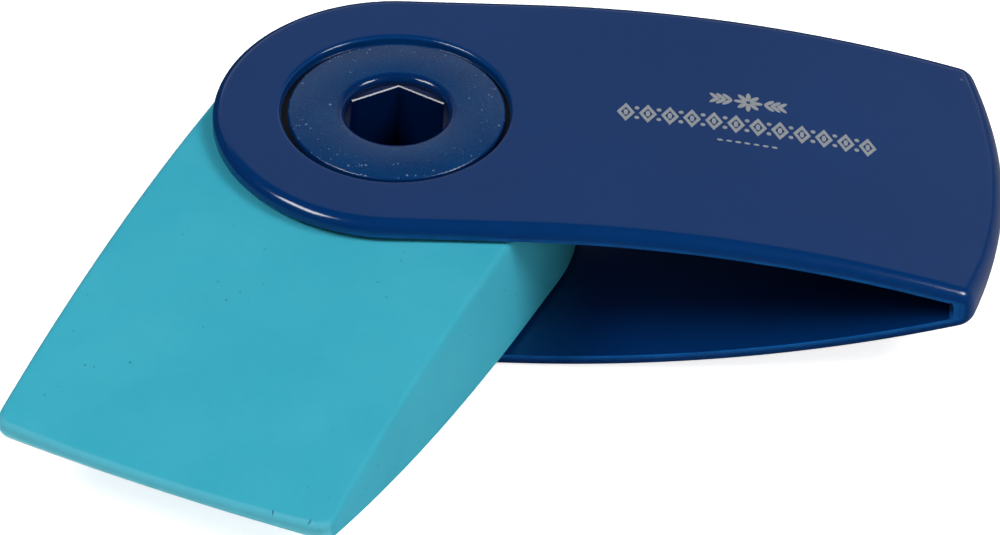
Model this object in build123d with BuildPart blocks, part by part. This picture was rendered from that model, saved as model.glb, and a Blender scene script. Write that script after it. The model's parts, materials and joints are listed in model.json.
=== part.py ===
from build123d import *

import os
from math import asin, cos, degrees, hypot, radians, sin, sqrt

# Pocket swivel eraser, millimetres. The pivot axis is Z and the part lies on z = 0.
# +X runs from the pivot to the closed end of the sleeve, which is the handle.
# The eraser is modelled where it stands when it is swung out for use.

# sleeve: one moulding, two cheeks joined by the closed end, both long sides open
sleeve_width = 25.0
sleeve_thickness = 12.1
sleeve_reach = 41.3            # pivot axis to the middle of the closed end
sleeve_flat_reach = 8.7        # the cheeks are flat up to here, then curve together
sleeve_end_thickness = 1.25    # over both cheeks where the curves reach the closed end
sleeve_end_radius = 37.4       # closed end, seen from above
sleeve_corner_radius = 1.1
sleeve_edge_radius = 0.6
cheek_thickness = 1.12
closed_wall = 1.25
pocket_corner_radius = 0.3

# eraser: a rubber wedge with a round thick end about the pivot; the pocket sets its size
eraser_flat_reach = 5.0        # its faces are flat up to here, then curve to the tip
eraser_tip_radius = 145.0      # tip edge, seen from above
eraser_corner_radius = 1.3
eraser_edge_radius = 0.4
swing_angle = -113.7           # eraser axis from +X, turning about +Z

# hub: two halves that plug together through the eraser and turn with it
flange_overhang = 0.9          # flange beyond the neck
flange_edge_height = 0.38
flange_edge_round = 0.2
shoulder_width = 1.3           # neck beyond the boss, where it bears on the rubber
boss_wall = 0.78               # outside the corners of the groove
eye_radius = 3.575             # round eye in each flange, for a cord
eye_lip_radius = 0.42
eye_land = 0.24
crown_recess = 0.05            # how far the flange's crown lies under the sleeve's face
crown_drop = 0.16              # from the eye's lip down to the flange's edge
crown_rise = 0.03
hex_inner_flat = 3.08          # axis to flat, inside the hexagonal tube
hex_wall = 0.6
hex_end_chamfer = 0.12
snap_height = 0.12
snap_length = 0.4
snap_from_end = 0.95

# clearances
eraser_side_step = 0.1         # eraser's long side in from the sleeve's
tip_gap = 0.8                  # closed end to the swing of the tip's corners
swing_clearance = 0.13         # eraser's flat faces to the cheeks where they come closest
tip_clearance = 0.06           # the same at the tip's corners
pivot_clearance = 0.06         # neck in the cheek's bore, radial
ledge_clearance = 0.06         # flange over the ledge in the cheek
flange_gap = 0.43              # flange's edge to the recess around it, radial
boss_clearance = 0.02          # hub boss in the rubber, radial
plug_clearance = 0.03          # hexagonal tube in its socket, across each flat
tube_end_gap = 0.07
halves_gap = 0.04
snap_clearance = 0.05
recess_edge_chamfer = 0.12

mid = sleeve_thickness / 2
half_width = sleeve_width / 2


def sagitta_radius(run, drop):
    """Radius of an arc that leaves a flat tangentially and drops so far over a run."""
    return (run * run + drop * drop) / (2 * drop)


cheek_curve_radius = sagitta_radius(
    sleeve_reach - sleeve_flat_reach, (sleeve_thickness - sleeve_end_thickness) / 2
)
inner_curve_radius = cheek_curve_radius - cheek_thickness
inner_half = mid - cheek_thickness


def pocket_half(x):
    """Half height of the pocket at a distance from the pivot."""
    run = max(x - sleeve_flat_reach, 0)
    return inner_half - inner_curve_radius + sqrt(inner_curve_radius**2 - run**2)


def lens_outline(start, flat_end, stop, half_start, radius):
    """Closed side outline: a flat block whose two faces curve together towards stop."""
    turn = degrees(asin((stop - flat_end) / radius))
    half_stop = half_start - radius * (1 - cos(radians(turn)))
    with BuildLine() as outline:
        Line((start, -half_start), (start, half_start))
        Line((start, half_start), (flat_end, half_start))
        CenterArc((flat_end, half_start - radius), radius, 90, -turn)
        Line((stop, half_stop), (stop, -half_stop))
        CenterArc((flat_end, radius - half_start), radius, -90, turn)
        Line((flat_end, -half_start), (start, -half_start))
    return outline.line


# ---- sleeve ----
end_sagitta = sleeve_end_radius - sqrt(sleeve_end_radius**2 - half_width**2)
corner_x = sleeve_reach - end_sagitta
pocket_stop = corner_x - closed_wall
socket_flat = hex_inner_flat + hex_wall + plug_clearance
boss_radius = (socket_flat + snap_height) / cos(radians(30)) + boss_wall
neck_radius = boss_radius + shoulder_width
flange_radius = neck_radius + flange_overhang
bore_radius = neck_radius + pivot_clearance
recess_radius = flange_radius + flange_gap
flange_under = mid - crown_recess - crown_drop - flange_edge_height
ledge_level = flange_under - ledge_clearance
sleeve_side = Plane(origin=(0, half_width, mid), x_dir=(1, 0, 0), z_dir=(0, -1, 0))

with BuildPart() as sleeve:
    with BuildSketch(sleeve_side):
        make_face(
            lens_outline(-half_width, sleeve_flat_reach, sleeve_reach, mid, cheek_curve_radius)
        )
    extrude(amount=sleeve_width)
    with BuildSketch(Plane.XY):
        with BuildLine():
            ThreePointArc((0, half_width), (-half_width, 0), (0, -half_width))
            Line((0, -half_width), (corner_x, -half_width))
            ThreePointArc((corner_x, -half_width), (sleeve_reach, 0), (corner_x, half_width))
            Line((corner_x, half_width), (0, half_width))
        plan = make_face()
        fillet(plan.vertices().sort_by(Axis.X)[-2:], radius=sleeve_corner_radius)
    extrude(amount=sleeve_thickness, mode=Mode.INTERSECT)
    upright = sleeve.edges().filter_by(Axis.Z)
    fillet(sleeve.edges() - upright, radius=sleeve_edge_radius)
    # the pocket is one straight core that runs out through both long sides
    with BuildSketch(sleeve_side) as pocket:
        make_face(
            lens_outline(
                -half_width, sleeve_flat_reach, pocket_stop, inner_half, inner_curve_radius
            )
        )
        fillet(pocket.vertices().sort_by(Axis.X)[-2:], radius=pocket_corner_radius)
    extrude(amount=sleeve_width, mode=Mode.SUBTRACT)
    with BuildSketch(Plane.XY):
        Circle(bore_radius)
    extrude(amount=sleeve_thickness, mode=Mode.SUBTRACT)
    with BuildSketch(Plane.XY.offset(mid + ledge_level)):
        Circle(recess_radius)
    extrude(amount=mid - ledge_level, mode=Mode.SUBTRACT)
    with BuildSketch(Plane.XY):
        Circle(recess_radius)
    extrude(amount=mid - ledge_level, mode=Mode.SUBTRACT)
    mouths = sleeve.edges().filter_by(GeomType.CIRCLE).filter_by(
        lambda edge: abs(edge.radius - recess_radius) < 1e-6
    )
    chamfer(mouths.sort_by(Axis.Z)[0], length=recess_edge_chamfer)
    chamfer(mouths.sort_by(Axis.Z)[-1], length=recess_edge_chamfer)

# ---- eraser ----
# It fills the pocket, and its tip's corners swing clear of the closed end and the cheeks.
eraser_half_width = half_width - eraser_side_step
eraser_width = 2 * eraser_half_width
tip_swing = pocket_stop - tip_gap - eraser_corner_radius
corner_centre = eraser_half_width - eraser_corner_radius
tip_corner = sqrt(tip_swing**2 - corner_centre**2) + eraser_corner_radius
tip_sagitta = eraser_tip_radius - sqrt(eraser_tip_radius**2 - eraser_half_width**2)
eraser_reach = tip_corner + tip_sagitta
eraser_half = pocket_half(hypot(eraser_flat_reach, eraser_half_width)) - swing_clearance
eraser_thickness = 2 * eraser_half
tip_half = pocket_half(hypot(eraser_reach, eraser_half_width)) - tip_clearance
eraser_curve_radius = sagitta_radius(eraser_reach - eraser_flat_reach, eraser_half - tip_half)
eraser_edge = min(eraser_edge_radius, 0.8 * tip_half)
swing = radians(swing_angle)
along = (cos(swing), sin(swing), 0)
across = (-sin(swing), cos(swing), 0)
eraser_side = Plane(
    origin=(across[0] * eraser_half_width, across[1] * eraser_half_width, mid),
    x_dir=along,
    z_dir=(-across[0], -across[1], 0),
)
eraser_plan = Plane(origin=(0, 0, mid - eraser_half), x_dir=along, z_dir=(0, 0, 1))

with BuildPart() as eraser:
    with BuildSketch(eraser_side):
        make_face(
            lens_outline(
                -eraser_half_width, eraser_flat_reach, eraser_reach, eraser_half,
                eraser_curve_radius,
            )
        )
    extrude(amount=eraser_width)
    with BuildSketch(eraser_plan):
        with BuildLine():
            ThreePointArc(
                (0, eraser_half_width), (-eraser_half_width, 0), (0, -eraser_half_width)
            )
            Line((0, -eraser_half_width), (tip_corner, -eraser_half_width))
            ThreePointArc(
                (tip_corner, -eraser_half_width), (eraser_reach, 0), (tip_corner, eraser_half_width)
            )
            Line((tip_corner, eraser_half_width), (0, eraser_half_width))
        wedge = make_face()
        fillet(wedge.vertices().sort_by(Axis.X)[-2:], radius=eraser_corner_radius)
    extrude(amount=eraser_thickness, mode=Mode.INTERSECT)
    upright = eraser.edges().filter_by(Axis.Z)
    fillet(eraser.edges() - upright, radius=eraser_edge)
    with BuildSketch(eraser_plan):
        Circle(boss_radius + boss_clearance)
    extrude(amount=eraser_thickness, mode=Mode.SUBTRACT)

# ---- hub ----
crown_level = mid - crown_recess
lip_foot = crown_level - eye_lip_radius
roof_level = lip_foot - eye_land
tube_end = roof_level - tube_end_gap
flange_top = crown_level - crown_drop
lip_outer = eye_radius + eye_lip_radius
lip_mid = (1 - sqrt(0.5)) * eye_lip_radius
flange_round_start = flange_radius - flange_edge_round
crown_middle = (lip_outer + flange_round_start) / 2
edge_mid = (1 - sqrt(0.5)) * flange_edge_round


def hub_section(side):
    """Half section of one hub half, radius against height from the middle plane."""
    def at(radius, height):
        return (radius, side * height)

    crown_peak = (crown_level + flange_top) / 2 + crown_rise
    with BuildLine() as section:
        Polyline(
            at(eye_radius, lip_foot), at(eye_radius, roof_level), at(0, roof_level),
            at(0, halves_gap / 2), at(boss_radius, halves_gap / 2),
            at(boss_radius, eraser_half), at(neck_radius, eraser_half),
            at(neck_radius, flange_under), at(flange_radius, flange_under),
            at(flange_radius, flange_top - flange_edge_round),
        )
        ThreePointArc(
            at(flange_radius, flange_top - flange_edge_round),
            at(flange_radius - edge_mid, flange_top - edge_mid),
            at(flange_round_start, flange_top),
        )
        ThreePointArc(
            at(flange_round_start, flange_top),
            at(crown_middle, crown_peak),
            at(lip_outer, crown_level),
        )
        ThreePointArc(
            at(lip_outer, crown_level),
            at(eye_radius + lip_mid, crown_level - lip_mid),
            at(eye_radius, lip_foot),
        )
    return section.line


hub_side = Plane(origin=(0, 0, mid), x_dir=(1, 0, 0), z_dir=(0, -1, 0))
snap_start = tube_end - snap_from_end - snap_length

with BuildPart() as hub_upper:
    with BuildSketch(hub_side):
        make_face(hub_section(1))
    revolve(axis=Axis.Z)
    with BuildSketch(Plane.XY.offset(mid)):
        RegularPolygon(socket_flat, 6, major_radius=False, rotation=30)
    extrude(amount=roof_level, mode=Mode.SUBTRACT)
    # the groove that the lower half's ridge snaps into
    with BuildSketch(Plane.XY.offset(mid + snap_start - snap_clearance)):
        RegularPolygon(socket_flat + snap_height, 6, major_radius=False, rotation=30)
    extrude(amount=snap_length + 2 * snap_clearance, mode=Mode.SUBTRACT)

with BuildPart() as hub_lower:
    with BuildSketch(hub_side):
        make_face(hub_section(-1))
    revolve(axis=Axis.Z)
    with BuildSketch(Plane.XY.offset(mid - halves_gap)):
        RegularPolygon(hex_inner_flat + hex_wall, 6, major_radius=False, rotation=30)
    extrude(amount=tube_end + halves_gap)
    with BuildSketch(Plane.XY.offset(mid + snap_start)):
        RegularPolygon(
            hex_inner_flat + hex_wall + snap_height, 6, major_radius=False, rotation=30
        )
    extrude(amount=snap_length)
    with BuildSketch(Plane.XY.offset(mid - roof_level)):
        RegularPolygon(hex_inner_flat, 6, major_radius=False, rotation=30)
    extrude(amount=roof_level + tube_end, mode=Mode.SUBTRACT)
    tube_rim = hub_lower.faces().filter_by(Plane.XY).sort_by(Axis.Z)[-1]
    chamfer(tube_rim.edges(), length=hex_end_chamfer)

os.makedirs("parts", exist_ok=True)
for name, piece in (
    ("sleeve", sleeve),
    ("eraser", eraser),
    ("hub_upper", hub_upper),
    ("hub_lower", hub_lower),
):
    piece.part.label = name
    export_step(piece.part, f"parts/{name}.step")
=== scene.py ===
import json
from math import asin, cos, hypot, pi, radians, sin, sqrt
import bmesh
import bpy
from mathutils import Matrix, Vector


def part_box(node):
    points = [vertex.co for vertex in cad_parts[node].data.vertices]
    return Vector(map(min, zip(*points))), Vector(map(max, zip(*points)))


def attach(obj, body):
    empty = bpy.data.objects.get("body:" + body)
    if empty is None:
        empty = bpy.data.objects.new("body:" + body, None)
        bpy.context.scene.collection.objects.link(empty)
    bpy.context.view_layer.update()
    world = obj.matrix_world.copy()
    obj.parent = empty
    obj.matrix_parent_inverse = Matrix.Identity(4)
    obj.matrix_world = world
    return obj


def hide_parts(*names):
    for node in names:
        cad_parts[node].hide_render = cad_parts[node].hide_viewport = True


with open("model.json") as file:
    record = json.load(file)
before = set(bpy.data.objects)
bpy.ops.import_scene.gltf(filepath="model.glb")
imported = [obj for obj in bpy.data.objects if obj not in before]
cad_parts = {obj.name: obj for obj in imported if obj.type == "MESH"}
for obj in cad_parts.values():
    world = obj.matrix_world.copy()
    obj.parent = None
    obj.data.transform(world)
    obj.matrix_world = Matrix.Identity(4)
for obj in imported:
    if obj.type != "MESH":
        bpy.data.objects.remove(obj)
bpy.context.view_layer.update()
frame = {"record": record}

bpy.ops.object.select_all(action='DESELECT')
print('frame loaded')

# Everything is drawn in millimetres about the middle plane of the sleeve,
# and brought to metres at its own height when it is finished.
sleeveLow, sleeveHigh = [corner * 1000 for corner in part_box('sleeve')]
hubLow, hubHigh = [corner * 1000 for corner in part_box('hub_upper')]
mid = sleeveHigh.z / 2
eyeRadius = frame['record']['mounts'][0]['dims']['r_mm']


def edit(obj):
    bpy.context.view_layer.objects.active = obj
    obj.select_set(True)
    bpy.ops.object.mode_set(mode='EDIT')
    bpy.ops.mesh.select_mode(type='VERT')
    bpy.ops.mesh.select_all(action='DESELECT')


def leaveEdit(obj):
    bpy.ops.object.mode_set(mode='OBJECT')
    obj.select_set(False)


def pick(obj, kind, test):
    # selects the verts, edges or faces of the mesh in edit mode that pass the test
    bpy.ops.mesh.select_mode(type=kind)
    bpy.ops.mesh.select_all(action='DESELECT')
    mesh = bmesh.from_edit_mesh(obj.data)
    parts = {'VERT': mesh.verts, 'EDGE': mesh.edges, 'FACE': mesh.faces}[kind]
    for part in parts:
        if test(part):
            part.select_set(True)
    bmesh.update_edit_mesh(obj.data)


def selectAll():
    bpy.ops.mesh.select_all(action='SELECT')


def weld(gap):
    selectAll()
    bpy.ops.mesh.remove_doubles(threshold=gap)


def faceOut():
    selectAll()
    bpy.ops.mesh.normals_make_consistent(inside=False)


def pullUp(height):
    bpy.ops.mesh.extrude_region_move(TRANSFORM_OT_translate={'value': (0, 0, height)})


def turnRound(turn, x=0, y=0):
    # rotate turns clockwise for a positive angle, so the sign is reversed here
    bpy.ops.transform.rotate(value=-turn, orient_axis='Z', center_override=(x, y, 0))


def roundOver(width, segments):
    # a bevel along the picked edges
    bpy.ops.mesh.bevel(
        offset=width, offset_type='OFFSET', segments=segments, profile=0.5, clamp_overlap=False
    )


def startPen(name, x, y, z):
    # one loose vertex, ready to be drawn with
    bpy.ops.object.select_all(action='DESELECT')
    bpy.ops.mesh.primitive_plane_add(size=1, location=(0, 0, 0))
    obj = bpy.context.object
    obj.name = name
    obj.data.name = name
    edit(obj)
    selectAll()
    bpy.ops.mesh.merge(type='CENTER')
    bpy.ops.transform.translate(value=(x, y, z))
    return obj


def penLine(dx, dy, dz):
    bpy.ops.mesh.extrude_vertices_move(TRANSFORM_OT_translate={'value': (dx, dy, dz)})


def penArc(center, axis, turn, steps):
    # spin needs the same change of sign
    bpy.ops.mesh.spin(steps=steps, angle=-turn, center=center, axis=axis, dupli=False)


def closeOutline():
    weld(0.002)
    selectAll()
    bpy.ops.mesh.edge_face_add()


def liftOutline(height):
    selectAll()
    pullUp(height)
    faceOut()


def applyModifiers(obj):
    bpy.ops.object.select_all(action='DESELECT')
    obj.select_set(True)
    bpy.context.view_layer.objects.active = obj
    for name in [m.name for m in obj.modifiers]:
        bpy.ops.object.modifier_apply(modifier=name)
    obj.select_set(False)


def carve(obj, tool, operation='DIFFERENCE'):
    cut = obj.modifiers.new('carve', 'BOOLEAN')
    cut.operation = operation
    cut.solver = 'EXACT'
    cut.object = tool
    applyModifiers(obj)
    bpy.data.objects.remove(tool, do_unlink=True)


def post(radius, low, high, sides=96, turn=0.0):
    # a round or many-sided tool standing on the pivot axis
    bpy.ops.object.select_all(action='DESELECT')
    bpy.ops.mesh.primitive_cylinder_add(
        vertices=sides, radius=radius, depth=high - low, location=(0, 0, 0)
    )
    tool = bpy.context.object
    edit(tool)
    selectAll()
    turnRound(turn)
    bpy.ops.transform.translate(value=(0, 0, (low + high) / 2))
    leaveEdit(tool)
    return tool


def sliceAt(place, normal, clear=False):
    selectAll()
    bpy.ops.mesh.bisect(
        plane_co=place, plane_no=normal, use_fill=False, clear_inner=clear, threshold=0.0001
    )


def sliceColumns(flat, reach, count):
    # upright cuts over the stretch that the cage is going to bend
    for i in range(count + 1):
        sliceAt((flat + (reach - flat) * i / count, 0, 0), (1, 0, 0))


def slump(obj, low, high, drop):
    # a fine cage that lowers the mesh by drop(x), as the faces curve to the mid-plane
    bpy.ops.object.select_all(action='DESELECT')
    bpy.ops.object.add(type='LATTICE', location=(0, 0, 0))
    cage = bpy.context.object
    cage.data.points_u = 64
    cage.data.points_v = 2
    cage.data.points_w = 2
    cage.data.interpolation_type_u = 'KEY_LINEAR'
    cage.data.interpolation_type_v = 'KEY_LINEAR'
    cage.data.interpolation_type_w = 'KEY_LINEAR'
    first = cage.data.points[0].co.copy()
    last = cage.data.points[-1].co.copy()
    size = Vector((high[i] - low[i]) / (last[i] - first[i]) for i in range(3))
    cage.scale = size
    cage.location = Vector(low[i] - first[i] * size[i] for i in range(3))
    for point in cage.data.points:
        x = cage.location.x + point.co.x * size.x
        point.co_deform = point.co - Vector((0, 0, drop(x) / size.z))
    bpy.context.view_layer.update()
    bend = obj.modifiers.new('slump', 'LATTICE')
    bend.object = cage
    applyModifiers(obj)
    bpy.data.objects.remove(cage, do_unlink=True)


def mirrorDown(obj):
    flip = obj.modifiers.new('mirror', 'MIRROR')
    flip.use_axis = (False, False, True)
    flip.use_mirror_merge = True
    flip.merge_threshold = 0.001
    applyModifiers(obj)


def roundEdges(obj, width, segments, angle):
    soft = obj.modifiers.new('soft edges', 'BEVEL')
    soft.width = width
    soft.segments = segments
    soft.limit_method = 'ANGLE'
    soft.angle_limit = radians(angle)
    soft.use_clamp_overlap = True
    applyModifiers(obj)


def toFrame(obj, body, node, material, smoothAngle=35):
    # metres, at the sleeve's height, smooth, riding on its body
    edit(obj)
    weld(0.0005)
    faceOut()
    bpy.ops.transform.translate(value=(0, 0, mid))
    bpy.ops.transform.resize(value=(0.001, 0.001, 0.001), center_override=(0, 0, 0))
    leaveEdit(obj)
    obj.select_set(True)
    bpy.ops.object.shade_smooth_by_angle(angle=radians(smoothAngle))
    weigh = obj.modifiers.new('weighted normals', 'WEIGHTED_NORMAL')
    weigh.keep_sharp = True
    weigh.weight = 80
    applyModifiers(obj)
    obj.data.materials.clear()
    obj.data.materials.append(material)
    if node:
        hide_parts(node)
    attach(obj, body)
    print(obj.name, len(obj.data.vertices), 'vertices')


def dropFrom(flat, stop, fall):
    # how far a face has come down at x, flat at first and then along one arc
    radius = ((stop - flat) ** 2 + fall ** 2) / (2 * fall)
    return lambda x: radius - sqrt(radius ** 2 - min(max(x - flat, 0), stop - flat + 1) ** 2)


def newGroup(name, inputs, outputs):
    group = bpy.data.node_groups.new(name, 'ShaderNodeTree')
    for label, kind, value in inputs:
        socket = group.interface.new_socket(name=label, in_out='INPUT', socket_type=kind)
        socket.default_value = value
    for label, kind in outputs:
        group.interface.new_socket(name=label, in_out='OUTPUT', socket_type=kind)
    entry = group.nodes.new('NodeGroupInput')
    leave = group.nodes.new('NodeGroupOutput')
    return group, entry, leave


def mathNode(tree, operation, first, second, clamp=False):
    node = tree.nodes.new('ShaderNodeMath')
    node.operation = operation
    node.use_clamp = clamp
    for socket, value in zip(node.inputs, (first, second)):
        if isinstance(value, (int, float)):
            socket.default_value = value
        else:
            tree.links.new(value, socket)
    return node.outputs[0]


def rangeNode(tree, value, low, high, toLow=0.0, toHigh=1.0):
    node = tree.nodes.new('ShaderNodeMapRange')
    node.clamp = True
    tree.links.new(value, node.inputs['Value'])
    for label, amount in (
        ('From Min', low), ('From Max', high), ('To Min', toLow), ('To Max', toHigh)
    ):
        if isinstance(amount, (int, float)):
            node.inputs[label].default_value = amount
        else:
            tree.links.new(amount, node.inputs[label])
    return node.outputs['Result']


def noiseNode(tree, vector, scale, detail=3.0, roughness=0.5):
    node = tree.nodes.new('ShaderNodeTexNoise')
    tree.links.new(vector, node.inputs['Vector'])
    for label, amount in (('Scale', scale), ('Detail', detail), ('Roughness', roughness)):
        if isinstance(amount, (int, float)):
            node.inputs[label].default_value = amount
        else:
            tree.links.new(amount, node.inputs[label])
    return node.outputs['Fac']


def mixColor(tree, factor, first, second):
    node = tree.nodes.new('ShaderNodeMix')
    node.data_type = 'RGBA'
    factorIn, firstIn, secondIn = node.inputs[0], node.inputs[6], node.inputs[7]
    for socket, value in ((factorIn, factor), (firstIn, first), (secondIn, second)):
        if isinstance(value, (int, float, tuple)):
            socket.default_value = value
        else:
            tree.links.new(value, socket)
    return node.outputs[2]


def buildMottle():
    # slow and quick cloudiness, 0 to 1
    group, entry, leave = newGroup(
        'mottle',
        [('Vector', 'NodeSocketVector', (0, 0, 0)), ('Scale', 'NodeSocketFloat', 200.0),
         ('Fine Scale', 'NodeSocketFloat', 1500.0), ('Fine Share', 'NodeSocketFloat', 0.3)],
        [('Mask', 'NodeSocketFloat')],
    )
    slow = noiseNode(group, entry.outputs['Vector'], entry.outputs['Scale'], 3.0)
    quick = noiseNode(group, entry.outputs['Vector'], entry.outputs['Fine Scale'], 4.0)
    share = entry.outputs['Fine Share']
    slowPart = mathNode(group, 'MULTIPLY', slow, mathNode(group, 'SUBTRACT', 1.0, share))
    both = mathNode(group, 'ADD', slowPart, mathNode(group, 'MULTIPLY', quick, share))
    group.links.new(rangeNode(group, both, 0.32, 0.68), leave.inputs['Mask'])
    return group


def buildSpecks():
    # scattered round specks, Amount is the share of cells that hold one
    group, entry, leave = newGroup(
        'specks',
        [('Vector', 'NodeSocketVector', (0, 0, 0)), ('Scale', 'NodeSocketFloat', 600.0),
         ('Amount', 'NodeSocketFloat', 0.1), ('Size', 'NodeSocketFloat', 0.12)],
        [('Mask', 'NodeSocketFloat')],
    )
    cells = group.nodes.new('ShaderNodeTexVoronoi')
    group.links.new(entry.outputs['Vector'], cells.inputs['Vector'])
    group.links.new(entry.outputs['Scale'], cells.inputs['Scale'])
    split = group.nodes.new('ShaderNodeSeparateColor')
    group.links.new(cells.outputs['Color'], split.inputs['Color'])
    chosen = mathNode(group, 'LESS_THAN', split.outputs[0], entry.outputs['Amount'])
    reach = mathNode(group, 'MULTIPLY', entry.outputs['Size'], split.outputs[1])
    heart = mathNode(group, 'MULTIPLY', reach, 0.5)
    near = rangeNode(group, cells.outputs['Distance'], reach, heart)
    group.links.new(mathNode(group, 'MULTIPLY', chosen, near), leave.inputs['Mask'])
    return group


def buildRubbedEdges():
    # 1 along edges that stand out, broken up by a noise
    group, entry, leave = newGroup(
        'rubbed edges',
        [('Vector', 'NodeSocketVector', (0, 0, 0)), ('Start', 'NodeSocketFloat', 0.52),
         ('Full', 'NodeSocketFloat', 0.60), ('Break Scale', 'NodeSocketFloat', 700.0)],
        [('Mask', 'NodeSocketFloat')],
    )
    shape = group.nodes.new('ShaderNodeNewGeometry')
    edge = rangeNode(
        group, shape.outputs['Pointiness'], entry.outputs['Start'], entry.outputs['Full']
    )
    gaps = noiseNode(group, entry.outputs['Vector'], entry.outputs['Break Scale'], 3.0)
    group.links.new(
        mathNode(group, 'MULTIPLY', edge, rangeNode(group, gaps, 0.35, 0.6)), leave.inputs['Mask']
    )
    return group


mottle = buildMottle()
specks = buildSpecks()
rubbedEdges = buildRubbedEdges()


def newMaterial(name):
    material = bpy.data.materials.new(name)
    material.use_nodes = True
    tree = material.node_tree
    shader = tree.nodes['Principled BSDF']
    place = tree.nodes.new('ShaderNodeTexCoord')
    return material, tree, shader, place.outputs['Object']


def alongNode(tree, vector, direction):
    node = tree.nodes.new('ShaderNodeVectorMath')
    node.operation = 'DOT_PRODUCT'
    tree.links.new(vector, node.inputs[0])
    node.inputs[1].default_value = direction
    return node.outputs['Value']


def facing(tree, toward):
    # how far the piece's own surface turns towards a direction, 1 when square to it
    place = tree.nodes.new('ShaderNodeTexCoord')
    return alongNode(tree, place.outputs['Normal'], toward)


def splitPlace(tree, place):
    split = tree.nodes.new('ShaderNodeSeparateXYZ')
    tree.links.new(place, split.inputs['Vector'])
    return split.outputs


def sideOfMiddle(tree, z):
    # 1 above the middle plane, -1 below it
    return mathNode(tree, 'SIGN', mathNode(tree, 'SUBTRACT', z, mid / 1000), 0.0)


def awayFromAxis(tree, x, y):
    square = mathNode(
        tree, 'ADD', mathNode(tree, 'POWER', x, 2.0), mathNode(tree, 'POWER', y, 2.0)
    )
    return mathNode(tree, 'SQRT', square, 0.0)


def placeGroup(tree, group, vector, **values):
    node = tree.nodes.new('ShaderNodeGroup')
    node.node_tree = group
    tree.links.new(vector, node.inputs['Vector'])
    for label, value in values.items():
        node.inputs[label.replace('_', ' ')].default_value = value
    return node.outputs['Mask']


def bumpNode(tree, height, strength, distance, before=None):
    node = tree.nodes.new('ShaderNodeBump')
    node.inputs['Strength'].default_value = strength
    node.inputs['Distance'].default_value = distance
    tree.links.new(height, node.inputs['Height'])
    if before:
        tree.links.new(before, node.inputs['Normal'])
    return node.outputs['Normal']


sleevePaint = {
    'deep': (0.0003, 0.0300, 0.1390, 1), 'light': (0.0008, 0.0345, 0.1550, 1),
    # shade and gap are painted shade, and the pale edge colour below is painted light
    'shade': (0.0002, 0.0110, 0.0600, 1), 'gap': (0.0002, 0.0015, 0.0060, 1),
    'paintedEdgeLight': (0.004, 0.125, 0.420, 1), 'dust': (0.30, 0.36, 0.46, 1),
    'cloud': {'Scale': 60.0, 'Fine_Scale': 900.0, 'Fine_Share': 0.25},
    'dustSpecks': {'Scale': 260.0, 'Amount': 0.035, 'Size': 0.07},
    'breakScale': 420.0, 'breaks': (0.30, 0.55, 0.45, 1.0),
    'roughLow': 0.12, 'roughHigh': 0.18, 'roughDust': 0.5, 'roughGap': 0.4, 'ior': 1.5,
    # relief, as strength and metres
    'rippleScale': 240.0, 'ripple': (0.10, 0.00006), 'dustRise': (0.4, 0.00004),
    # how far each colour is mixed in
    'shadeShare': 0.45, 'wallShare': 0.65, 'edgeShare': 0.85, 'rimShare': 0.12, 'gapShadeShare': 0.95,
    # how squarely a surface faces where a mask begins and where it is full
    'towards': (0.12, 0.35), 'within': (0.80, 0.93), 'wallInward': (-0.14, 0.05),
    'wallSquare': (0.88, 0.97), 'endSquare': (0.72, 0.90), 'rimOut': (0.10, 0.35),
    'rimFlat': (0.75, 0.95), 'ledgeFlat': (0.85, 0.95),
    # metres from the pivot: past the rim, past the ledge, and where the mouth ends
    'rimReach': 0.0083, 'ledgeReach': 0.00785, 'mouthReach': 0.034,
}


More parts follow.
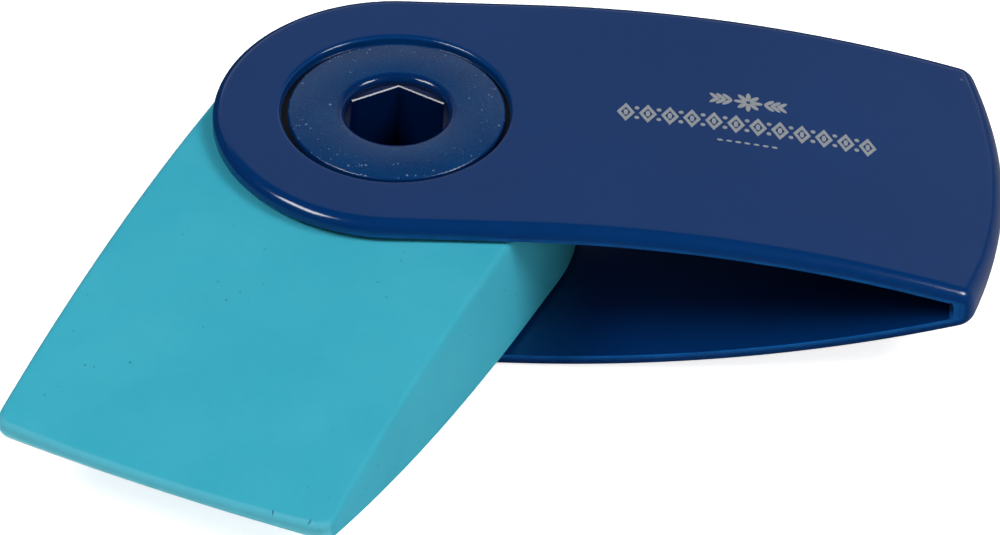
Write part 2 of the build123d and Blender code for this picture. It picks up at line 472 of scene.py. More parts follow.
def makeSleevePlastic():
    look = sleevePaint
    material, tree, shader, place = newMaterial('sleevePlastic')
    cloud = placeGroup(tree, mottle, place, **look['cloud'])
    dust = placeGroup(tree, specks, place, **look['dustSpecks'])
    x, y, z = splitPlace(tree, place)
    # the roundings that turn towards the mouth get a thin pale line of painted light, and the
    # faces inside it get painted shade
    inward = mathNode(tree, 'MULTIPLY', sideOfMiddle(tree, z), facing(tree, (0, 0, -1)))
    towards = rangeNode(tree, inward, *look['towards'])
    within = rangeNode(tree, inward, *look['within'])
    edge = mathNode(tree, 'SUBTRACT', towards, within, clamp=True)
    across = facing(tree, (0, 1, 0))
    wall = mathNode(
        tree, 'MULTIPLY', rangeNode(tree, inward, *look['wallInward']),
        rangeNode(tree, mathNode(tree, 'MULTIPLY', across, across), *look['wallSquare']),
    )
    edge = mathNode(
        tree, 'MAXIMUM', edge, mathNode(tree, 'MULTIPLY', wall, look['wallShare'])
    )
    # painted light also runs along the upright edge at the end of the mouth
    mouthEnd = mathNode(
        tree, 'MULTIPLY', rangeNode(tree, x, look['mouthReach'], look['mouthReach'] + 0.001),
        rangeNode(tree, facing(tree, (-sqrt(0.5), -sqrt(0.5), 0)), *look['endSquare']),
    )
    edge = mathNode(tree, 'MAXIMUM', edge, mouthEnd)
    gaps = noiseNode(tree, place, look['breakScale'], 3.0)
    edge = mathNode(tree, 'MULTIPLY', edge, rangeNode(tree, gaps, *look['breaks']))
    # the rim of the round recess gets a faint painted highlight too
    outward = mathNode(tree, 'MULTIPLY', inward, -1.0)
    radius = awayFromAxis(tree, x, y)
    rim = mathNode(
        tree, 'SUBTRACT', rangeNode(tree, outward, *look['rimOut']),
        rangeNode(tree, outward, *look['rimFlat']), clamp=True,
    )
    rim = mathNode(tree, 'MULTIPLY', rim, rangeNode(
        tree, radius, look['rimReach'], look['rimReach'] + 0.0001, 1.0, 0.0
    ))
    # its ledge lies in the gap round the flange and is painted in near-black shade
    ledge = mathNode(
        tree, 'MULTIPLY', rangeNode(tree, outward, *look['ledgeFlat']),
        rangeNode(tree, radius, look['ledgeReach'], look['ledgeReach'] + 0.00007, 1.0, 0.0),
    )
    color = mixColor(tree, cloud, look['deep'], look['light'])
    # painted shade inside the mouth, painted light on its edges and the recess rim, near-black
    # painted shade on the ledge
    for mask, share, paint in (
        (within, 'shadeShare', 'shade'), (edge, 'edgeShare', 'paintedEdgeLight'),
        (rim, 'rimShare', 'paintedEdgeLight'), (ledge, 'gapShadeShare', 'gap'),
    ):
        color = mixColor(tree, mathNode(tree, 'MULTIPLY', mask, look[share]), color, look[paint])
    color = mixColor(tree, dust, color, look['dust'])
    tree.links.new(color, shader.inputs['Base Color'])
    sheen = rangeNode(tree, cloud, 0.0, 1.0, look['roughLow'], look['roughHigh'])
    dustRough = mathNode(tree, 'MULTIPLY', dust, look['roughDust'])
    gapRough = mathNode(tree, 'MULTIPLY', ledge, look['roughGap'])
    rough = mathNode(tree, 'ADD', sheen, dustRough, clamp=True)
    rough = mathNode(tree, 'ADD', rough, gapRough, clamp=True)
    tree.links.new(rough, shader.inputs['Roughness'])
    ripple = noiseNode(tree, place, look['rippleScale'], 2.0)
    waves = bumpNode(tree, ripple, *look['ripple'])
    tree.links.new(bumpNode(tree, dust, *look['dustRise'], waves), shader.inputs['Normal'])
    shader.inputs['IOR'].default_value = look['ior']
    return material


hubPaint = {
    'deep': (0.0002, 0.0230, 0.1120, 1), 'light': (0.0016, 0.0560, 0.1800, 1),
    'sparkle': (0.22, 0.33, 0.48, 1), 'shade': (0.0001, 0.0050, 0.0380, 1),
    'cloud': {'Scale': 420.0, 'Fine_Scale': 9000.0, 'Fine_Share': 0.72},
    'fewGlints': {'Scale': 3300.0, 'Amount': 0.05, 'Size': 0.45},
    'edgeGlints': {'Scale': 5200.0, 'Amount': 0.18, 'Size': 0.50},
    'fewShare': 0.55, 'edgeShare': 0.75, 'shadeShare': 0.70, 'besideShare': 0.97,
    'roughMatt': 0.21, 'roughPolished': 0.15, 'roughShade': 0.90, 'roughBeside': 0.45,
    'grainScale': 7000.0, 'grain': (0.34, 0.00008), 'glintRise': 0.7, 'ior': 1.5,
    # millimetres: lip of the eye, its foot above the middle, and its sides
    'lip': 0.42, 'lipFoot': 5.50, 'besideFrom': 2.7, 'besideTo': 3.1,
    # metres in from the flange's edge, where the glints crowd together
    'crowdFrom': 0.0022, 'crowdFull': 0.0002,
}


def makeHubPlastic():
    look = hubPaint
    material, tree, shader, place = newMaterial('hubPlastic')
    x, y, z = splitPlace(tree, place)
    radius = awayFromAxis(tree, x, y)
    flange = hubHigh.x / 1000
    # the flange's face is spark-eroded, the eye, the neck and the tube are polished
    eyeEdge = (eyeRadius + look['lip']) / 1000
    matt = mathNode(
        tree, 'MULTIPLY', rangeNode(tree, radius, eyeEdge - 0.00005, eyeEdge + 0.00015),
        rangeNode(tree, radius, flange - 0.00012, flange - 0.00002, 1.0, 0.0),
    )
    # down the eye painted shade darkens it, and it is dull above the polished rim of the tube
    level = mathNode(tree, 'ABSOLUTE', mathNode(tree, 'SUBTRACT', z, mid / 1000), 0.0)
    within = rangeNode(tree, radius, eyeRadius / 1000, eyeRadius / 1000 + 0.0002, 1.0, 0.0)
    below = rangeNode(
        tree, level, (look['lipFoot'] - 0.08) / 1000, (look['lipFoot'] + 0.08) / 1000, 1.0, 0.0
    )
    endFace = rangeNode(
        tree, level, (hubSizes['tubeEnd'] - 0.03) / 1000, (hubSizes['tubeEnd'] - 0.01) / 1000
    )
    shade = mathNode(tree, 'MULTIPLY', within, below)
    beside = rangeNode(
        tree, mathNode(tree, 'ABSOLUTE', x, 0.0), look['besideFrom'] / 1000,
        look['besideTo'] / 1000,
    )
    nearEdge = rangeNode(tree, radius, flange - look['crowdFrom'], flange - look['crowdFull'])
    cloud = placeGroup(tree, mottle, place, **look['cloud'])
    fewGlints = placeGroup(tree, specks, place, **look['fewGlints'])
    edgeGlints = placeGroup(tree, specks, place, **look['edgeGlints'])
    nearEdge = mathNode(tree, 'MULTIPLY', nearEdge, look['edgeShare'])
    glints = mathNode(
        tree, 'MAXIMUM', mathNode(tree, 'MULTIPLY', fewGlints, look['fewShare']),
        mathNode(tree, 'MULTIPLY', edgeGlints, nearEdge),
    )
    glints = mathNode(tree, 'MULTIPLY', glints, matt)
    color = mixColor(tree, cloud, look['deep'], look['light'])
    color = mixColor(tree, matt, look['deep'], color)
    color = mixColor(tree, glints, color, look['sparkle'])
    depth = rangeNode(tree, beside, 0.0, 1.0, look['shadeShare'], look['besideShare'])
    color = mixColor(tree, mathNode(tree, 'MULTIPLY', shade, depth), color, look['shade'])
    tree.links.new(color, shader.inputs['Base Color'])
    rough = rangeNode(tree, matt, 0.0, 1.0, look['roughPolished'], look['roughMatt'])
    dull = mathNode(tree, 'MULTIPLY', shade, endFace)
    dullRough = rangeNode(tree, beside, 0.0, 1.0, look['roughShade'], look['roughBeside'])
    rough = rangeNode(tree, dull, 0.0, 1.0, rough, dullRough)
    tree.links.new(rough, shader.inputs['Roughness'])
    grain = noiseNode(tree, place, look['grainScale'], 3.0, 0.65)
    grain = mathNode(tree, 'MULTIPLY', grain, matt)
    rise = mathNode(tree, 'MULTIPLY', glints, look['glintRise'])
    relief = bumpNode(tree, mathNode(tree, 'ADD', grain, rise), *look['grain'])
    tree.links.new(relief, shader.inputs['Normal'])
    shader.inputs['IOR'].default_value = look['ior']
    return material


rubberPaint = {
    'deep': (0.026, 0.410, 0.555, 1), 'light': (0.040, 0.452, 0.600, 1),
    'powder': (0.100, 0.500, 0.610, 1), 'wearAndPaintedLight': (0.150, 0.560, 0.680, 1),
    'paintedUnderLight': (0.200, 0.780, 0.900, 1), 'flashHighlight': (0.50, 0.90, 0.95, 1),
    'grit': (0.010, 0.130, 0.180, 1), 'roughLow': 0.62, 'roughHigh': 0.80, 'ior': 1.45,
    'specular': 0.35, 'sheen': 0.05, 'sheenRough': 0.5,
    'cloud': {'Scale': 150.0, 'Fine_Scale': 1400.0, 'Fine_Share': 0.35},
    'streaks': {'Scale': 45.0, 'Fine_Scale': 380.0, 'Fine_Share': 0.4},
    'gritSpecks': {'Scale': 1300.0, 'Amount': 0.42, 'Size': 0.20},
    'edges': {'Start': 0.51, 'Full': 0.58, 'Break_Scale': 500.0},
    'patchScale': 75.0, 'patches': (0.46, 0.60),
    'streakShare': 0.16, 'edgeShare': 0.45, 'tipShare': 0.42, 'gritShare': 0.55,
    # how squarely a surface faces the tip's end where it begins to be pale, and is
    'tip': (0.40, 0.58),
    # millimetres over the middle plane, each from nothing to all of it
    'underLightLevel': (0.15, -0.36), 'flashLevel': (-0.19, -0.26), 'underLightGain': 1.9,
    # metres across the tip over which the flash's painted highlight fades, and its gain where it
    # is full
    'flashFade': (-0.001, 0.005), 'flashGain': 2.1,
    # relief, as strength and metres
    'grainScale': 3200.0, 'grain': (0.35, 0.00004), 'dentScale': 260.0,
    'dents': (0.30, 0.00030), 'pits': (0.5, -0.00005),
}


def makeRubber():
    look = rubberPaint
    material, tree, shader, place = newMaterial('eraserRubber')
    cloud = placeGroup(tree, mottle, place, **look['cloud'])
    streak = placeGroup(tree, mottle, place, **look['streaks'])
    grit = placeGroup(tree, specks, place, **look['gritSpecks'])
    patch = rangeNode(tree, noiseNode(tree, place, look['patchScale'], 2.0), *look['patches'])
    grit = mathNode(tree, 'MULTIPLY', grit, patch)
    edge = placeGroup(tree, rubbedEdges, place, **look['edges'])
    color = mixColor(tree, cloud, look['deep'], look['light'])
    streak = mathNode(tree, 'MULTIPLY', streak, look['streakShare'])
    color = mixColor(tree, streak, color, look['powder'])
    edge = mathNode(tree, 'MULTIPLY', edge, look['edgeShare'])
    color = mixColor(tree, edge, color, look['powder'])
    # the rounding along the tip is paler, partly wear from rubbing and partly painted light on
    # its shaded end
    turn = radians(eraserSizes['swing'])
    towardsTip = facing(tree, (cos(turn), sin(turn), 0))
    tip = rangeNode(tree, towardsTip, *look['tip'], 0.0, look['tipShare'])
    color = mixColor(tree, tip, color, look['wearAndPaintedLight'])
    # painted light lifts the tip's end most of all low down, where it faces away from the lamps
    z = splitPlace(tree, place)[2]
    underLightTop, underLightFull = [(mid + level) / 1000 for level in look['underLightLevel']]
    low = rangeNode(tree, z, underLightTop, underLightFull, 0.0, look['underLightGain'])
    color = mixColor(tree, mathNode(tree, 'MULTIPLY', tip, low), color, look['paintedUnderLight'])
    # a painted highlight along the thin flash left low on it
    across = alongNode(tree, place, (-sin(turn), cos(turn), 0))
    flashTop, flashFull = [(mid + level) / 1000 for level in look['flashLevel']]
    flashHighlight = mathNode(
        tree, 'MULTIPLY', rangeNode(tree, across, *look['flashFade'], look['flashGain'], 0.0),
        rangeNode(tree, z, flashTop, flashFull),
    )
    flashHighlight = mathNode(tree, 'MULTIPLY', tip, flashHighlight, clamp=True)
    color = mixColor(tree, flashHighlight, color, look['flashHighlight'])
    gritShare = mathNode(tree, 'MULTIPLY', grit, look['gritShare'])
    color = mixColor(tree, gritShare, color, look['grit'])
    tree.links.new(color, shader.inputs['Base Color'])
    rough = rangeNode(tree, cloud, 0.0, 1.0, look['roughLow'], look['roughHigh'])
    tree.links.new(rough, shader.inputs['Roughness'])
    grain = noiseNode(tree, place, look['grainScale'], 4.0, 0.6)
    dents = noiseNode(tree, place, look['dentScale'], 2.0)
    fine = bumpNode(tree, grain, *look['grain'])
    soft = bumpNode(tree, dents, *look['dents'], fine)
    tree.links.new(bumpNode(tree, grit, *look['pits'], soft), shader.inputs['Normal'])
    shader.inputs['IOR'].default_value = look['ior']
    shader.inputs['Specular IOR Level'].default_value = look['specular']
    shader.inputs['Sheen Weight'].default_value = look['sheen']
    shader.inputs['Sheen Roughness'].default_value = look['sheenRough']
    return material


printPaint = {
    'thin': (0.34, 0.37, 0.41, 1), 'full': (0.52, 0.55, 0.58, 1),
    'cloud': {'Scale': 900.0, 'Fine_Scale': 9000.0, 'Fine_Share': 0.5},
    'rough': (0.55, 0.38), 'metal': (0.25, 0.5), 'relief': (0.2, 0.00001),
}


def makeSilverPrint():
    look = printPaint
    material, tree, shader, place = newMaterial('silverPrint')
    cloud = placeGroup(tree, mottle, place, **look['cloud'])
    color = mixColor(tree, cloud, look['thin'], look['full'])
    tree.links.new(color, shader.inputs['Base Color'])
    tree.links.new(rangeNode(tree, cloud, 0.0, 1.0, *look['rough']), shader.inputs['Roughness'])
    tree.links.new(rangeNode(tree, cloud, 0.0, 1.0, *look['metal']), shader.inputs['Metallic'])
    tree.links.new(bumpNode(tree, cloud, *look['relief']), shader.inputs['Normal'])
    return material


sleevePlastic = makeSleevePlastic()
silverPrint = makeSilverPrint()
print('sleeve and print materials built')


sleeveSizes = {
    'flatReach': 8.7, 'endHalf': 0.625, 'cheek': 1.12, 'endRadius': 37.4, 'cornerRadius': 1.1,
    'closedWall': 1.25, 'rimRound': 0.85, 'innerRound': 0.12, 'pocketRound': 0.45,
    'recessRadius': 7.84, 'recessShift': (-0.08, 0.10), 'recessRound': 0.24, 'band': 0.25,
    'boreRadius': 6.56, 'ledge': 5.40, 'columns': 40,
}


def roundedPlan(name, halfWidth, reach, endRadius, cornerRadius, height, ends=72):
    # round end on the pivot, two straight sides, and a bowed end with rounded corners
    endCentre = reach - endRadius
    cornerY = halfWidth - cornerRadius
    cornerX = endCentre + sqrt((endRadius - cornerRadius) ** 2 - cornerY ** 2)
    lean = asin(cornerY / (endRadius - cornerRadius))
    obj = startPen(name, 0, halfWidth, height)
    penArc((0, 0, height), (0, 0, 1), pi, ends)
    penLine(cornerX, 0, 0)
    penArc((cornerX, -cornerY, height), (0, 0, 1), pi / 2 - lean, 8)
    penArc((endCentre, 0, height), (0, 0, 1), 2 * lean, 28)
    penArc((cornerX, cornerY, height), (0, 0, 1), pi / 2 - lean, 8)
    penLine(-cornerX, 0, 0)
    closeOutline()
    return obj


def followCheek(obj):
    # the cage that bends the cheek down, used for what lies on it too
    s = sleeveSizes
    low = (sleeveLow.x - 1, -sleeveHigh.y - 1, -mid)
    high = (sleeveHigh.x + 1, sleeveHigh.y + 1, mid + 1)
    slump(obj, low, high, dropFrom(s['flatReach'], sleeveHigh.x, mid - s['endHalf']))


def makeSleeve():
    s = sleeveSizes
    halfWidth, reach = sleeveHigh.y, sleeveHigh.x
    inner = mid - s['cheek']
    sagitta = s['endRadius'] - sqrt(s['endRadius'] ** 2 - halfWidth ** 2)
    pocketStop = reach - sagitta - s['closedWall']
    sleeve = roundedPlan(
        'sleeveShell', halfWidth, reach, s['endRadius'], s['cornerRadius'], inner
    )
    liftOutline(s['cheek'])
    pick(sleeve, 'EDGE', lambda e: all(abs(v.co.z - mid) < 0.01 for v in e.verts))
    roundOver(s['rimRound'], 7)
    sliceColumns(s['flatReach'], reach, s['columns'])
    sliceAt((pocketStop, 0, 0), (1, 0, 0))
    # the closed end is the cheek's own wall carried down past the middle plane
    pick(sleeve, 'FACE', lambda f: f.normal.z < -0.9 and f.calc_center_median().x > pocketStop)
    pullUp(-mid)
    leaveEdit(sleeve)
    carve(sleeve, post(s['boreRadius'], inner - 1, mid + 1, 144))
    recess = post(s['recessRadius'], s['ledge'], mid + 1, 144)
    # the gap round the flange is a little wider on the left and at the back
    recess.location.x, recess.location.y = s['recessShift']
    bpy.context.view_layer.update()
    carve(sleeve, recess)
    edit(sleeve)
    pick(sleeve, 'EDGE', lambda e: all(
        abs(v.co.z - mid) < 0.001 and abs(hypot(
            v.co.x - s['recessShift'][0], v.co.y - s['recessShift'][1]
        ) - s['recessRadius']) < 0.02 for v in e.verts
    ))
    roundOver(s['recessRound'], 4)
    # a narrow band round each flat face keeps its shading even
    for level, upward in ((mid, 1), (inner, -1)):
        pick(sleeve, 'FACE', lambda f: (
            f.normal.z * upward > 0.999 and abs(f.calc_center_median().z - level) < 0.001
        ))
        bpy.ops.mesh.inset(thickness=s['band'], use_boundary=True, use_even_offset=True)
    leaveEdit(sleeve)
    followCheek(sleeve)
    edit(sleeve)
    sliceAt((0, 0, 0), (0, 0, 1), clear=True)
    leaveEdit(sleeve)
    mirrorDown(sleeve)
    edit(sleeve)
    pick(sleeve, 'EDGE', lambda e: (
        all(abs(v.co.x - pocketStop) < 0.01 and 0.3 < abs(v.co.z) < 2 for v in e.verts)
        and abs(e.verts[0].co.z - e.verts[1].co.z) < 0.001 and len(e.link_faces) == 2
        and abs(e.link_faces[0].normal.x - e.link_faces[1].normal.x) > 0.7
    ))
    roundOver(s['pocketRound'], 5)
    leaveEdit(sleeve)
    roundEdges(sleeve, s['innerRound'], 3, 40)
    toFrame(sleeve, 'sleeve', 'sleeve', sleevePlastic)


makeSleeve()


motifSizes = {
    'thick': 0.022, 'sunk': 0.006, 'rowStart': 14.9, 'rowEnd': 32.6, 'rowY': 0.72, 'cells': 12,
    'lozenge': (1.22, 1.95), 'stroke': 0.23, 'dot': 0.34, 'dotRise': 0.52, 'bud': (0.3, 0.62),
    'flowerX': 23.8, 'flowerY': 3.25, 'petals': 8, 'petal': (0.34, 0.86), 'petalReach': 0.56,
    # pairs of leaves on each side of the flower, a little closer the further out they are
    'leaves': 3, 'leaf': (0.92, 0.30), 'leafStart': 1.42, 'leafPitch': 0.44, 'leafRise': 0.26,
    'leafClose': 0.03, 'leafTurn': 0.75,
    'ruleY': -1.2, 'dash': (0.42, 0.2), 'dashes': 7, 'dashPitch': 0.62,
}


def stamp(name, sides, width, height, x, y, turn=0.0, ring=0.0):
    # one flat shape on the cheek, solid or a ring of the given stroke
    bpy.ops.object.select_all(action='DESELECT')
    bpy.ops.mesh.primitive_circle_add(
        vertices=sides, radius=0.5, fill_type='NGON', location=(0, 0, 0)
    )
    obj = bpy.context.object
    obj.name = name
    obj.data.name = name
    edit(obj)
    selectAll()
    bpy.ops.transform.resize(value=(width, height, 1))
    if ring:
        bpy.ops.mesh.select_mode(type='FACE')
        selectAll()
        bpy.ops.mesh.inset(thickness=ring)
        bpy.ops.mesh.delete(type='FACE')
    selectAll()
    turnRound(turn)
    bpy.ops.transform.translate(value=(x, y, mid - motifSizes['sunk']))
    pullUp(motifSizes['thick'] + motifSizes['sunk'])
    faceOut()
    return obj


def repeatAlong(count, dx):
    for i in range(count):
        bpy.ops.mesh.duplicate()
        bpy.ops.transform.translate(value=(dx, 0, 0))


def repeatRound(count, turn, x, y):
    for i in range(count):
        bpy.ops.mesh.duplicate()
        turnRound(turn, x, y)


def makeMotif():
    s = motifSizes
    pitch = (s['rowEnd'] - s['rowStart'] - s['lozenge'][0]) / (s['cells'] - 1)
    start = s['rowStart'] + s['lozenge'][0] / 2
    parts = [stamp('frieze', 4, *s['lozenge'], start, s['rowY'], 0, s['stroke'])]
    repeatAlong(s['cells'] - 1, pitch)
    leaveEdit(parts[0])
    for rise in (-s['dotRise'], s['dotRise']):
        parts.append(stamp('dot', 10, s['dot'], s['dot'], start + pitch / 2, s['rowY'] + rise))
        repeatAlong(s['cells'] - 2, pitch)
        leaveEdit(parts[-1])
    parts.append(stamp('bud', 12, *s['bud'], start, s['rowY']))
    repeatAlong(s['cells'] - 1, pitch)
    leaveEdit(parts[-1])
    parts.append(stamp('petal', 12, *s['petal'], s['flowerX'], s['flowerY'] + s['petalReach']))
    repeatRound(s['petals'] - 1, 2 * pi / s['petals'], s['flowerX'], s['flowerY'])
    leaveEdit(parts[-1])
    for side in (-1, 1):
        for i in range(s['leaves']):
            x = s['flowerX'] + side * (s['leafStart'] + s['leafPitch'] * i)
            for up in (-1, 1):
                y = s['flowerY'] + up * (s['leafRise'] - s['leafClose'] * i)
                parts.append(stamp('leaf', 10, *s['leaf'], x, y, side * up * s['leafTurn']))
                leaveEdit(parts[-1])
    first = s['flowerX'] - s['dashPitch'] * (s['dashes'] - 1) / 2
    parts.append(stamp('rule', 8, *s['dash'], first, s['ruleY']))
    repeatAlong(s['dashes'] - 1, s['dashPitch'])
    leaveEdit(parts[-1])
    bpy.ops.object.select_all(action='DESELECT')
    for part in parts:
        part.select_set(True)
    bpy.context.view_layer.objects.active = parts[0]
    bpy.ops.object.join()
    motif = parts[0]
    motif.name = 'silverMotif'
    motif.data.name = 'silverMotif'
    followCheek(motif)
    toFrame(motif, 'sleeve', None, silverPrint, 30)


makeMotif()


eraserSizes = {
    'sideStep': 0.1, 'reach': 35.87, 'flatReach': 5.0, 'half': 4.69, 'tipHalf': 0.48,
    'tipRadius': 145.0, 'cornerRadius': 1.3, 'edgeRound': 0.45, 'boreRadius': 5.225,
    'columns': 44, 'swing': -113.7, 'nicks': ((8.3, 0.55), (10.9, -0.35)), 'nickLong': 0.26,
    'nickFloor': 0.16, 'nickNarrow': 0.24,
}


def makeEraser():
    s = eraserSizes
    halfWidth = sleeveHigh.y - s['sideStep']
    below = -3.0
    eraser = roundedPlan(
        'eraserWedge', halfWidth, s['reach'], s['tipRadius'], s['cornerRadius'], below
    )
    liftOutline(s['half'] - below)
    pick(eraser, 'EDGE', lambda e: all(abs(v.co.z - s['half']) < 0.01 for v in e.verts))
    roundOver(s['edgeRound'], 6)
    sliceColumns(s['flatReach'], s['reach'], s['columns'])
    leaveEdit(eraser)
    carve(eraser, post(s['boreRadius'], below - 1, s['half'] + 1, 96))
    slump(
        eraser, (-halfWidth - 1, -halfWidth - 1, below - 1),
        (s['reach'] + 1, halfWidth + 1, s['half'] + 1),
        dropFrom(s['flatReach'], s['reach'], s['half'] - s['tipHalf']),
    )
    edit(eraser)
    sliceAt((0, 0, 0), (0, 0, 1), clear=True)
    leaveEdit(eraser)
    mirrorDown(eraser)
    for along, turn in s['nicks']:
        # worn into the tip's upper edge
        nick = post(s['nickLong'], s['nickFloor'], 1.0, 3)
        back = s['tipRadius'] - sqrt(s['tipRadius'] ** 2 - along ** 2)
        nick.location = (s['reach'] - back - s['nickLong'], along, nick.location.z)
        nick.rotation_euler.z = turn
        nick.scale.y = s['nickNarrow']
        bpy.context.view_layer.update()
        carve(eraser, nick)
    edit(eraser)
    selectAll()
    turnRound(radians(s['swing']))
    leaveEdit(eraser)
    toFrame(eraser, 'swivel', 'eraser', eraserRubber, 50)


eraserRubber = makeRubber()
makeEraser()


hubSizes = {
    'eyeLip': 0.46, 'roof': 5.34, 'boss': 5.2025, 'shoulder': 4.69, 'neck': 6.5025,
    'flangeUnder': 5.46, 'edgeRound': 0.2, 'edgeDrop': 0.11, 'crownRise': 0.11,
    'halvesGap': 0.04, 'hexFlat': 3.08, 'hexWall': 0.6, 'plugGap': 0.03, 'snap': 0.12,
    'snapLength': 0.4, 'snapGap': 0.05, 'snapFromEnd': 0.95, 'tubeEnd': 5.27, 'tubeRound': 0.095,
}


def crownArc(x1, z1, x2, z2, rise):
    # centre of the shallow arc over a chord that stands up by rise in the middle
    chord = hypot(x2 - x1, z2 - z1)
    radius = (chord ** 2 / 4 + rise ** 2) / (2 * rise)
    sink = radius - rise
    nx, nz = -(z2 - z1) / chord, (x2 - x1) / chord
    centre = ((x1 + x2) / 2 - nx * sink, (z1 + z2) / 2 - nz * sink)
    return centre, 2 * asin(chord / (2 * radius))


def spinHubHalf(name):
    # half section from the axis, round by the eye, the crown and the neck, spun about Z
    s = hubSizes
    crown = hubHigh.z - mid
    flange = hubHigh.x
    foot = crown - s['eyeLip']
    lipX = eyeRadius + s['eyeLip']
    edgeX = flange - s['edgeRound']
    edgeZ = crown - s['edgeDrop']
    hub = startPen(name, 0, 0, s['roof'])
    penLine(eyeRadius, 0, 0)
    penLine(0, 0, foot - s['roof'])
    penArc((lipX, 0, foot), (0, 1, 0), pi / 2, 8)
    centre, turn = crownArc(lipX, crown, edgeX, edgeZ, s['crownRise'])
    penArc((centre[0], 0, centre[1]), (0, 1, 0), turn, 12)
    penArc((edgeX, 0, edgeZ - s['edgeRound']), (0, 1, 0), pi / 2, 5)
    penLine(0, 0, s['flangeUnder'] - (edgeZ - s['edgeRound']))
    penLine(s['neck'] - flange, 0, 0)
    penLine(0, 0, s['shoulder'] - s['flangeUnder'])
    penLine(s['boss'] - s['neck'], 0, 0)
    penLine(0, 0, s['halvesGap'] / 2 - s['shoulder'])
    penLine(-s['boss'], 0, 0)
    selectAll()
    bpy.ops.mesh.spin(steps=120, angle=2 * pi, center=(0, 0, 0), axis=(0, 0, 1), dupli=False)
    weld(0.001)
    faceOut()
    leaveEdit(hub)
    return hub


def hexPost(flat, low, high):
    return post(flat / cos(pi / 6), low, high, 6)


def makeHub():
    s = hubSizes
    snapStart = s['tubeEnd'] - s['snapFromEnd'] - s['snapLength']
    socket = s['hexFlat'] + s['hexWall'] + s['plugGap']
    upper = spinHubHalf('hubTop')
    carve(upper, hexPost(socket, -1, s['roof']))
    groove = hexPost(
        socket + s['snap'], snapStart - s['snapGap'], snapStart + s['snapLength'] + s['snapGap']
    )
    carve(upper, groove)
    roundEdges(upper, 0.05, 2, 50)
    toFrame(upper, 'swivel', 'hub_upper', hubPlastic)

    lower = spinHubHalf('hubBase')
    edit(lower)
    selectAll()
    bpy.ops.transform.mirror(constraint_axis=(False, False, True), center_override=(0, 0, 0))
    faceOut()
    leaveEdit(lower)
    outer = s['hexFlat'] + s['hexWall']
    tube = hexPost(outer, -0.2, s['tubeEnd'])
    ridge = hexPost(outer + s['snap'], snapStart, snapStart + s['snapLength'])
    carve(tube, ridge, 'UNION')
    carve(lower, tube, 'UNION')
    carve(lower, hexPost(s['hexFlat'], -s['roof'], s['tubeEnd'] + 1))
    edit(lower)
    pick(lower, 'EDGE', lambda e: all(abs(v.co.z - s['tubeEnd']) < 0.01 for v in e.verts))
    roundOver(s['tubeRound'], 1)
    leaveEdit(lower)
    toFrame(lower, 'swivel', 'hub_lower', hubPlastic)


hubPlastic = makeHubPlastic()
makeHub()


studio = {
    'floorSize': 4.0, 'floorDrop': 0.00004, 'floorGrey': 0.86, 'greyStep': 0.01,
    'floorCloud': {'Scale': 3.0, 'Fine_Scale': 40.0, 'Fine_Share': 0.2},
    'floorRough': 0.9, 'floorGlow': 0.80,
    'world': 0.02, 'wall': (0.85, 0.42, -0.38), 'wallFrom': 0.60, 'wallLight': 0.45,
    'boxes': [
        # name, where from, how far, width, height, watts, seen in the gloss
        ('leftBox', (-0.60, -0.26, 0.76), 0.60, 0.27, 0.17, 2.0, True),
        ('rightBox', (0.67, -0.27, 0.69), 0.60, 0.22, 0.17, 1.65, True),
        ('sideFill', (0.62, -0.60, 0.52), 1.10, 0.80, 0.55, 2.4, False),
        ('horizonCard', (0.0, 0.93, 0.36), 1.00, 1.10, 0.20, 0.33, True),
        ('backCard', (-0.05, 0.83, 0.55), 1.00, 1.50, 0.46, 0.57, True),
    ],
}
cameraSizes = {
    'aim': (7.304, -6.581, 3.895), 'azimuth': 1.322, 'elevation': 39.432, 'roll': 0.851,
    'distance': 657.66, 'lens': 349.52, 'sensor': 36, 'clip': (0.01, 20),
}


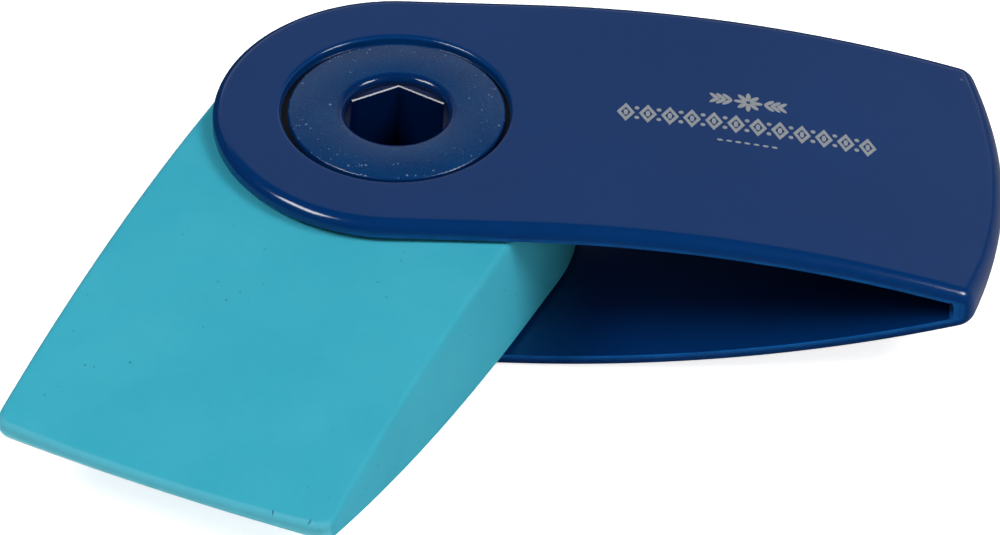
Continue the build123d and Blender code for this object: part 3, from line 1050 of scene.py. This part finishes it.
def makeStudio():
    bpy.ops.mesh.primitive_plane_add(
        size=studio['floorSize'], location=(0, 0, -studio['floorDrop'])
    )
    floor = bpy.context.object
    floor.name = 'paleFloor'
    material, tree, shader, place = newMaterial('paleFloor')
    grey, paler = studio['floorGrey'], studio['floorGrey'] + studio['greyStep']
    cloud = placeGroup(tree, mottle, place, **studio['floorCloud'])
    pale = mixColor(tree, cloud, (grey, grey, grey, 1), (paler, paler, paler, 1))
    tree.links.new(pale, shader.inputs['Base Color'])
    shader.inputs['Roughness'].default_value = studio['floorRough']
    shader.inputs['Specular IOR Level'].default_value = 0.0
    # a lit table: the camera sees its glow, the glossy plastic does not
    shader.inputs['Emission Color'].default_value = (1, 1, 1, 1)
    sight = tree.nodes.new('ShaderNodeLightPath')
    glow = mathNode(tree, 'MULTIPLY', sight.outputs['Is Camera Ray'], studio['floorGlow'])
    tree.links.new(glow, shader.inputs['Emission Strength'])
    floor.data.materials.append(material)
    floor.visible_glossy = False
    world = bpy.data.worlds.new('studio')
    world.use_nodes = True
    # dim all round, with a paler wall behind on the right
    sky = world.node_tree
    look = sky.nodes.new('ShaderNodeTexCoord')
    ahead = alongNode(sky, look.outputs['Generated'], Vector(studio['wall']).normalized())
    light = rangeNode(sky, ahead, studio['wallFrom'], 1.0, studio['world'], studio['wallLight'])
    sky.nodes['Background'].inputs[0].default_value = (1, 1, 1, 1)
    sky.links.new(light, sky.nodes['Background'].inputs[1])
    bpy.context.scene.world = world
    for name, toward, distance, width, height, watts, glossy in studio['boxes']:
        data = bpy.data.lights.new(name, 'AREA')
        data.shape = 'RECTANGLE'
        data.size = width
        data.size_y = height
        data.energy = watts
        lamp = bpy.data.objects.new(name, data)
        lamp.visible_glossy = glossy
        bpy.context.scene.collection.objects.link(lamp)
        lamp.location = Vector(toward).normalized() * distance
        lamp.rotation_euler = Vector(toward).to_track_quat('Z', 'Y').to_euler()


def makeCamera():
    c = cameraSizes
    az, el, roll = radians(c['azimuth']), radians(c['elevation']), radians(c['roll'])
    ahead = Vector((-sin(az) * cos(el), cos(az) * cos(el), -sin(el)))
    level = Vector((cos(az), sin(az), 0))
    upright = level.cross(ahead)
    right = cos(roll) * level + sin(roll) * upright
    up = -sin(roll) * level + cos(roll) * upright
    data = bpy.data.cameras.new('camera')
    data.lens = c['lens']
    data.sensor_width = c['sensor']
    data.clip_start, data.clip_end = c['clip']
    camera = bpy.data.objects.new('camera', data)
    bpy.context.scene.collection.objects.link(camera)
    turn = Matrix((right, up, -ahead)).transposed().to_4x4()
    spot = (Vector(c['aim']) - c['distance'] * ahead) / 1000
    camera.matrix_world = Matrix.Translation(spot) @ turn
    bpy.context.scene.camera = camera


makeStudio()
makeCamera()
bpy.context.scene.view_settings.view_transform = 'Standard'
print('studio ready')
